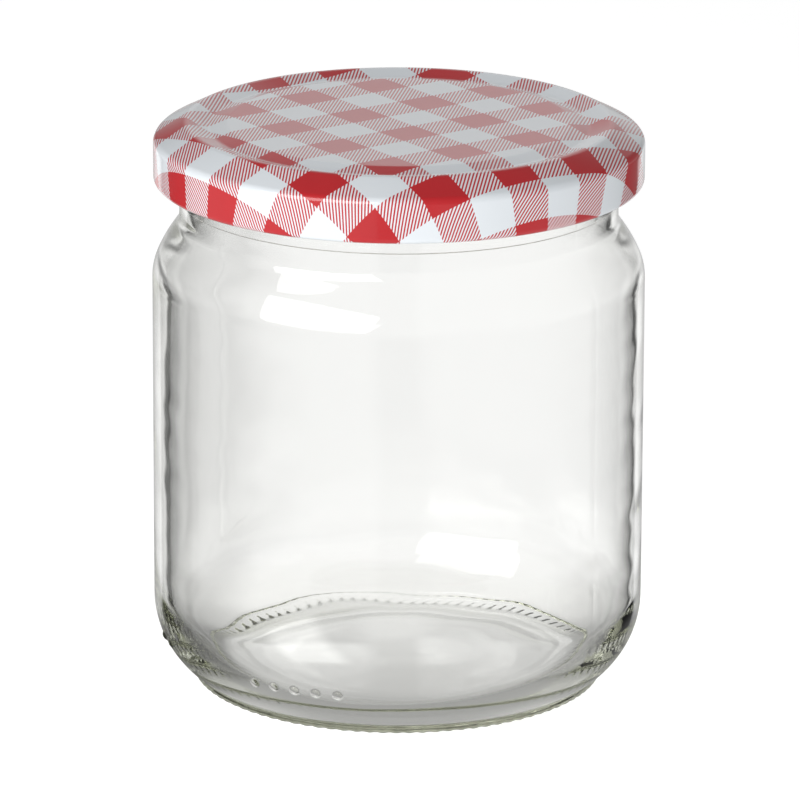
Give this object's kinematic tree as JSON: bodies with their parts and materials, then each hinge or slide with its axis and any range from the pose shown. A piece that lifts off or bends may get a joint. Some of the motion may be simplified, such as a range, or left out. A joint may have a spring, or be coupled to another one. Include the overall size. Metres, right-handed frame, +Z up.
{
  "type": "canning jar with lid",
  "caption": "Empty round canning jar of clear glass with a knurled foot, sloped shoulder and a low stamped tin lug cap printed in red and white gingham check.",
  "frame": {"origin": "centre of the foot ring, on the surface that the jar stands on", "axes": "+Z up along the jar's axis; the row of moulder's dots on the heel is at the front left, towards -Y and -X"},
  "size_m": [0.086, 0.086, 0.1011],
  "materials": {
    "clear_glass": "clear flint glass, fire polished",
    "printed_tin": "red and white gingham print under gloss varnish"
  },
  "bodies": {
    "root": {"jar": "clear_glass", "lid": "printed_tin"}
  },
  "joints": []
}
